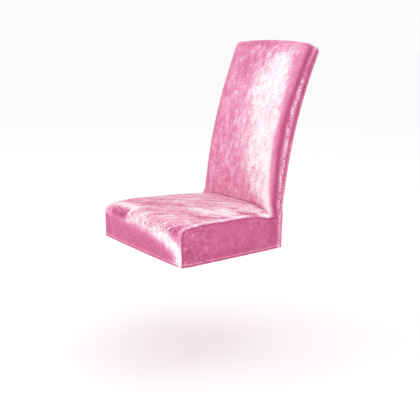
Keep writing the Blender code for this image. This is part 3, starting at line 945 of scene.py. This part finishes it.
# pale and dark lines along the turned hem, painted highlight on its folds and painted shade in its
# stitched
# line: the height as a share of the hem's, how much the line shines and its width
hemHighlightAndShadeLines = [(0.95, 0.28, 0.0018), (0.5, -0.16, 0.0022), (0.0, 0.34, 0.0017)]


def hemShine(shine, height):
    for share, amount, width in hemHighlightAndShadeLines:
        shine += hump(height - share * cloth["hemHeight"], amount, width)
    return shine


# Seat: places across it, and the run up the front border and back over the seat
seatLook = {
    "steps": {"border": 26, "corner": 12, "seat": 108, "across": 124},
    "folds": [
        ([(-0.160, 0.095), (-0.120, 0.101), (-0.080, 0.102)], 0.011, -0.0013),
        ([(-0.060, 0.098), (0.015, 0.095), (0.080, 0.088), (0.148, 0.079), (0.200, 0.058)],
         0.012, 0.0012),
        ([(0.060, 0.070), (0.130, 0.055), (0.180, 0.040)], 0.012, -0.0010),
        ([(0.188, 0.478), (0.150, 0.462), (0.120, 0.458)], 0.006, 0.0010),
        ([(-0.188, 0.478), (-0.150, 0.462)], 0.006, 0.0010),
        ([(0.190, 0.455), (0.170, 0.430)], 0.006, -0.0008),
    ],
    # lighter and darker strokes: painted highlights on the front roll and the seat, painted shade,
    # and some of the velvet's own patches
    "strokes": [
        ([(-0.225, 0.118), (-0.150, 0.124), (-0.066, 0.121)], 0.019, 0.34),
        ([(-0.170, 0.094), (-0.105, 0.101), (-0.045, 0.109)], 0.0140, -0.23),
        ([(-0.150, 0.108), (-0.100, 0.113)], 0.005, -0.14),
        ([(-0.125, 0.092), (-0.080, 0.097)], 0.006, -0.12),
        ([(-0.225, 0.090), (-0.120, 0.082), (-0.050, 0.088)], 0.008, 0.16),
        ([(-0.062, 0.100), (0.015, 0.096), (0.080, 0.088), (0.148, 0.079), (0.205, 0.055),
          (0.222, 0.022)], 0.0235, 0.38),
        ([(0.130, 0.082), (0.200, 0.060), (0.222, 0.022)], 0.026, 0.22),
        ([(-0.22, 0.112), (-0.22, 0.10)], 0.016, 0.12),
        ([(0.094, 0.254), (0.140, 0.300), (0.180, 0.345)], 0.028, 0.27),
        ([(0.092, 0.331), (0.150, 0.335)], 0.018, 0.10),
        ([(0.155, 0.427), (0.188, 0.470)], 0.020, 0.22),
        ([(0.180, 0.370), (0.198, 0.415)], 0.014, -0.24),
        ([(0.06, 0.40), (0.13, 0.45)], 0.022, 0.12),
        ([(-0.18, 0.165), (-0.02, 0.19)], 0.030, -0.16),
        ([(-0.20, 0.22), (-0.10, 0.25)], 0.04, -0.09),
        ([(-0.02, 0.14), (0.10, 0.15)], 0.014, -0.08),
        ([(0.10, 0.20), (0.19, 0.23)], 0.014, -0.08),
        ([(-0.21, 0.04), (0.20, 0.02)], 0.035, -0.06),
    ],
    "pileAndPaintedLight": {
        "shine": (0.39, 0.585),  # the front border and the top, the top painted lighter
        "shineEase": (0.10, 0.03),
        "grain": (0.35, 1.25),
        "grainEase": (0.082, 0.03),
        "glossGrain": 0.75,  # the painted highlight of the border is grainy too
        "glossEase": (0.62, 0.2),
        # painted highlight on the seam's ridge, painted shade at the crease
        "ridgeAt": 0.0045,
        "ridgeHump": (0.21, 0.0036),
        "ridgeGrain": 0.35,
        "ridgeEase": (0.006, 0.006),
        "creaseShadeHump": (0.30, 0.004),
        "hemReach": 0.02,
    },
    "ridgeAt": 0.0055,  # the seam turned under makes a soft ridge beside the side seam
    "ridgeHump": (0.0011, 0.0028),
    "foldReach": 0.008,
    "edgeRows": (0.0085, 0.0115),
    "creaseRows": (0.016, 0.012, 0.0085, 0.0055, 0.0038, 0.0022, 0.0011),
}


def seatShine(x, run, edge):
    # painted light on the seat: the top lighter than the front border, a highlight on the seam's
    # ridge, shade at the crease, the hem's lines
    pileAndPaintedLight = seatLook["pileAndPaintedLight"]
    onTop = ease(run, *pileAndPaintedLight["shineEase"])
    shine = lerp(*pileAndPaintedLight["shine"], onTop) + strokes(seatLook["strokes"], x, run)
    grain = lerp(*pileAndPaintedLight["grain"], ease(run, *pileAndPaintedLight["grainEase"]))
    grain += pileAndPaintedLight["glossGrain"] * ease(shine, *pileAndPaintedLight["glossEase"]) * (1 - onTop)
    shine += hump(edge - pileAndPaintedLight["ridgeAt"], *pileAndPaintedLight["ridgeHump"])
    grain *= lerp(pileAndPaintedLight["ridgeGrain"], 1.0, ease(edge, *pileAndPaintedLight["ridgeEase"]))
    shine -= hump(seatRun(seat["creaseY"]) - run, *pileAndPaintedLight["creaseShadeHump"])
    if run < pileAndPaintedLight["hemReach"]:
        shine = hemShine(shine, run)
    return shine, grain


def seatRun(y):
    # length over the cloth from the front hem to a place y on top of the seat
    border = seat["frontCornerZ"] - seat["hemFront"] + seat["frontCorner"] * math.pi / 2
    return border + y - seat["frontSeamY"] - seat["frontCorner"]


def seamRows(steps):
    crease, (first, *ends) = seat["creaseY"], seatLook["creaseRows"]
    rows = spread(seat["sideSeam"][0][0], crease - first, steps)
    return rows + [crease - end for end in (*ends, 2 * cloth["seamGap"])]


def seatProfile():
    # the side seam from the front hem to the crease: (y, z), the way the cloth faces, the run
    steps = seatLook["steps"]
    straight = seat["frontCornerZ"] - seat["hemFront"]
    heights = hemHeights + spread(hemHeights[-1], straight, steps["border"])[1:]
    profile = [((seat["frontSeamY"], seat["hemFront"] + h), (-1.0, 0.0), h) for h in heights]
    centre, radius = seat["frontSeamY"] + seat["frontCorner"], seat["frontCorner"]
    for turn in spread(0.0, math.pi / 2, steps["corner"])[1:-1]:
        out = (-math.cos(turn), math.sin(turn))
        seam = (centre + radius * out[0], seat["frontCornerZ"] + radius * out[1])
        profile.append((seam, out, straight + radius * turn))
    for y in seamRows(steps["seat"]):
        profile.append(((y, curve(seat["sideSeam"], 1, y)), (0.0, 1.0), seatRun(y)))
    return profile


def seatTop():
    # seat and front border in one piece, rolled over the front edge
    look, rolled = seatLook, rollWidth(cornerRoll)
    edgeSteps = [cloth["seamGap"], *(rolled * part for part in rollSteps), *look["edgeRows"]]
    rows = []
    for (y, z), (outY, outZ), run in seatProfile():
        half = sideHalf(y, z) - rollDepth(cornerRoll)
        columns = [half - step for step in edgeSteps]
        across = spread(-columns[-1], columns[-1], look["steps"]["across"])[1:-1]
        row = []
        for x in [-x for x in columns] + across + columns[::-1]:
            share, edge = x / half, half - abs(x)
            swell = lerp(seat["frontCrown"] * (1 - share**2), seatCrown(share, y), smooth(outZ))
            out = rollDepth(cornerRoll) - rollDepth(cornerRoll, edge) + swell
            out += hump(edge - look["ridgeAt"], *look["ridgeHump"])
            if outZ < 1:
                out += hemRelief(z - seat["hemFront"]) * smooth(edge / rolled)
            else:
                out -= rollDepth(creaseRoll, seat["creaseY"] - y)
            point = Vector((x, y + out * outY, z + out * outZ))
            away = min(edge, seat["creaseY"] - y, run)
            folds = strokes(look["folds"], x, run) * smooth(away / look["foldReach"])
            point += Vector((0, outY, outZ)) * (crumple(point, away) + folds)
            row.append((point, *seatShine(x, run, edge)))
        rows.append(row)
    return sewPanel("seat_top_velvet", rows, [], hemRowCount, seatVelvet)


sideLook = {
    "steps": {"front": 26, "corner": 5, "rear": 6},
    "folds": [
        ([(0.380, 0.440), (0.350, 0.425)], 0.008, -0.0008),
        ([(0.030, 0.400), (0.060, 0.385)], 0.010, -0.0006),
    ],
    # lighter and darker strokes: painted shade and light, with some of the velvet's own patches
    "strokes": [
        ([(0.03, 0.39), (0.30, 0.375)], 0.018, -0.06),
        ([(0.385, 0.38), (0.385, 0.45)], 0.022, -0.09),
        ([(0.06, 0.42), (0.12, 0.40)], 0.020, 0.05),
        ([(0.03, 0.44), (0.04, 0.40)], 0.014, -0.05),
        ([(0.15, 0.455), (0.33, 0.445)], 0.018, 0.02),
    ],
    # the seat's sides are painted darker than its top and front, as shade, with painted shade along
    # the seam
    "pileAndPaintedLight": {
        "shine": 0.33,
        "seamAt": 0.0015,
        "seamShadeHump": (0.15, 0.0022),
        "grain": 0.36,
        "frontGrain": 0.30,
        "frontFade": (0.14, 0.08),
    },
    "foldReach": 0.01,
    "underLength": 0.006,  # past the crease the top edge drops under the back's side
    "crumpleShift": 0.7,  # so that the two sides don't crumple alike
}


def seatSide(name, sign):
    # side panel of the seat, with its curved front corner
    look, pileAndPaintedLight = sideLook, sideLook["pileAndPaintedLight"]
    steps, halfTurn = look["steps"], math.radians(45)
    centreY, centreZ = seat["frontSeamY"] + seat["frontCorner"], seat["frontCornerZ"]
    hemAlong = hemZ(back["footY"] + back["seamLow"]) - back["footZ"]
    rolled = rollWidth(cornerRoll)
    crease, seamTable = seat["creaseY"], seat["sideSeam"]

    def outline(inset):
        inset += cloth["seamGap"]
        radius = seat["frontCorner"] - inset
        frontY = seat["frontSeamY"] + inset
        front = [Vector((frontY, hemZ(frontY) + height)) for height in hemHeights]
        last = hemZ(frontY) + hemHeights[-1]
        front += [Vector((frontY, z)) for z in spread(last, centreZ, steps["front"])[1:]]

        def rounded(turn):
            return Vector((centreY - radius * math.cos(turn), centreZ + radius * math.sin(turn)))

        front += [rounded(turn) for turn in spread(0.0, halfTurn, steps["corner"])[1:]]
        top = [rounded(turn) for turn in spread(halfTurn, math.pi / 2, steps["corner"])[:-1]]
        for y in seamRows(seatLook["steps"]["seat"]):
            dip = rollDepth(creaseRoll, crease - y)
            top.append(Vector((y, curve(seamTable, 1, y) - dip - inset)))
        corner = Vector(backPlace(back["sideFoot"] - inset, back["seamLow"] - inset))
        for y in spread(crease, corner.x, steps["rear"])[1:-1]:
            under = backPlace(back["sideFoot"], y - back["footY"])[1]
            low = seamTable[-1][1] - rollDepth(creaseRoll)
            drop = ease(y, crease, look["underLength"])
            top.append(Vector((y, lerp(low, under, drop) - inset)))
        top.append(corner)
        rear = []
        for point in front:
            part = (point.y - front[0].y) / (front[-1].y - front[0].y)
            along = lerp(hemAlong, back["sideFoot"] - inset, part)
            rear.append(Vector(backPlace(along, back["seamLow"] - inset)))
        return front, top, rear

    def place(point, edge):
        y, z = point
        under = ease(y, crease, look["underLength"])
        amount = lerp(1.0, rollDepth(flatRoll) / rollDepth(cornerRoll), under)
        above = z - hemZ(y)
        out = hemRelief(above) * smooth(edge / rolled) - rollDepth(cornerRoll, edge) * amount
        bulge = seat["sideBulge"] * smooth(edge / seat["bulgeRise"])
        spot = Vector((sideHalf(y, z) + out + bulge, y, z))
        away = min(edge, above)
        spot.x += crumple(spot + Vector((sign * look["crumpleShift"], 0, 0)), away)
        spot.x += strokes(look["folds"], y, z) * smooth(away / look["foldReach"])
        spot.x *= sign
        # the side is painted darker as shade, with painted shade along the seam and the hem's
        # painted lines
        shine = pileAndPaintedLight["shine"] + strokes(look["strokes"], y, z)
        shine -= hump(edge - pileAndPaintedLight["seamAt"], *pileAndPaintedLight["seamShadeHump"])
        grain = pileAndPaintedLight["grain"] + pileAndPaintedLight["frontGrain"] * fade(y, *pileAndPaintedLight["frontFade"])
        return spot, hemShine(shine, above), grain

    front, top, rear = outline(rolled)
    start, end = top[0].x, top[-1].x
    low = [front[0].lerp(rear[0], (point.x - start) / (end - start)) for point in top]
    low = [Vector((point.x, hemZ(point.x))) for point in low]
    rows = []
    for line in coons(low, top, front, rear):
        row = []
        for point in line:
            below = max(0.0, curve(seamTable, 1, point.x) - rolled - point.y)
            edge = rolled + min(point.x - line[0].x, line[-1].x - point.x, below)
            row.append(place(point, max(edge, rolled)))
        rows.append(row)
    rings = []
    for part in (*rollSteps[-2::-1], 0.0):
        inset = rolled * part
        front, top, rear = outline(inset)
        rings.append([place(point, inset) for point in front[:-1] + top + rear[:-1][::-1]])
    return sewPanel(name, rows, rings, hemRowCount, seatVelvet)


# each node's dressed panel, its flat sides and its area
panels = {
    "back_front": (backFront(), (0.48, 0.64), 0.264),
    "back_rear": (backRear(), (0.44, 0.70), 0.280),
    "seat_top": (seatTop(), (0.48, 0.53), 0.215),
    "seat_side_left": (seatSide("seat_side_left_velvet", 1), (0.41, 0.13), 0.051),
    "seat_side_right": (seatSide("seat_side_right_velvet", -1), (0.41, 0.13), 0.051),
}
for node, (panel, flat, area) in panels.items():
    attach(panel, "root")
    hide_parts(node)
print("sewed the panels")


# Floor, light and camera
studio = {
    "floorZ": -hang.z,
    "floorSize": 60.0,
    "floorTone": (250, 250, 250),
    "floorRoughness": 0.9,
    "floorSpecular": 0.1,
    "floorGlow": 0.03,
    "camera": (1.999, -1.186, 1.064),
    "azimuth": 53.7,
    "down": 13.6,
    "focal": 747.0,  # in pixels of a picture 420 wide
    "pictureWidth": 420.0,
    "sensor": 36.0,
    "aim": (0, 0.25, 0.6),
    "lights": [  # place from the seat, size, watts
        ((-2.2, -2.6, 2.6), 2.6, 23.0),
        ((1.6, -3.2, 1.4), 2.2, 6.0),
        ((0.6, 1.4, 3.0), 2.4, 12.0),
    ],
    "world": 0.965,
}


def paleFloor():
    bpy.ops.object.select_all(action="DESELECT")
    bpy.ops.mesh.primitive_plane_add(size=studio["floorSize"], location=(0, 0, studio["floorZ"]))
    floor = bpy.context.object
    floor.name = "studio_floor"
    bpy.ops.object.transform_apply(location=True, rotation=True, scale=True)
    material, shader = newMaterial("paleFloor")
    shader.inputs["Base Color"].default_value = tone(*studio["floorTone"])
    shader.inputs["Roughness"].default_value = studio["floorRoughness"]
    shader.inputs["Specular IOR Level"].default_value = studio["floorSpecular"]
    shader.inputs["Emission Color"].default_value = (1.0, 1.0, 1.0, 1.0)
    shader.inputs["Emission Strength"].default_value = studio["floorGlow"]
    floor.data.materials.append(material)


def softLights():
    aim = Vector(studio["aim"]) - hang
    for number, (place, size, watts) in enumerate(studio["lights"], 1):
        lamp = bpy.data.lights.new(f"softbox_{number}", "AREA")
        lamp.shape = "SQUARE"
        lamp.size = size
        lamp.energy = watts
        light = bpy.data.objects.new(lamp.name, lamp)
        light.location = aim + Vector(place)
        light.rotation_euler = (-Vector(place)).to_track_quat("-Z", "Y").to_euler()
        bpy.context.scene.collection.objects.link(light)
    world = bpy.data.worlds.new("studio")
    world.use_nodes = True
    shade = world.node_tree.nodes["Background"]
    shade.inputs["Color"].default_value = (1.0, 1.0, 1.0, 1.0)
    shade.inputs["Strength"].default_value = studio["world"]
    bpy.context.scene.world = world


def camera():
    lens = bpy.data.cameras.new("camera")
    lens.sensor_fit = "AUTO"
    lens.sensor_width = studio["sensor"]
    lens.lens = studio["focal"] * lens.sensor_width / studio["pictureWidth"]
    viewer = bpy.data.objects.new("camera", lens)
    viewer.location = Vector(studio["camera"]) - hang
    viewer.rotation_euler = (math.radians(90 - studio["down"]), 0, math.radians(studio["azimuth"]))
    bpy.context.scene.collection.objects.link(viewer)
    bpy.context.scene.camera = viewer


camera()
paleFloor()
softLights()
bpy.context.scene.view_settings.view_transform = "Standard"
print("set the studio")
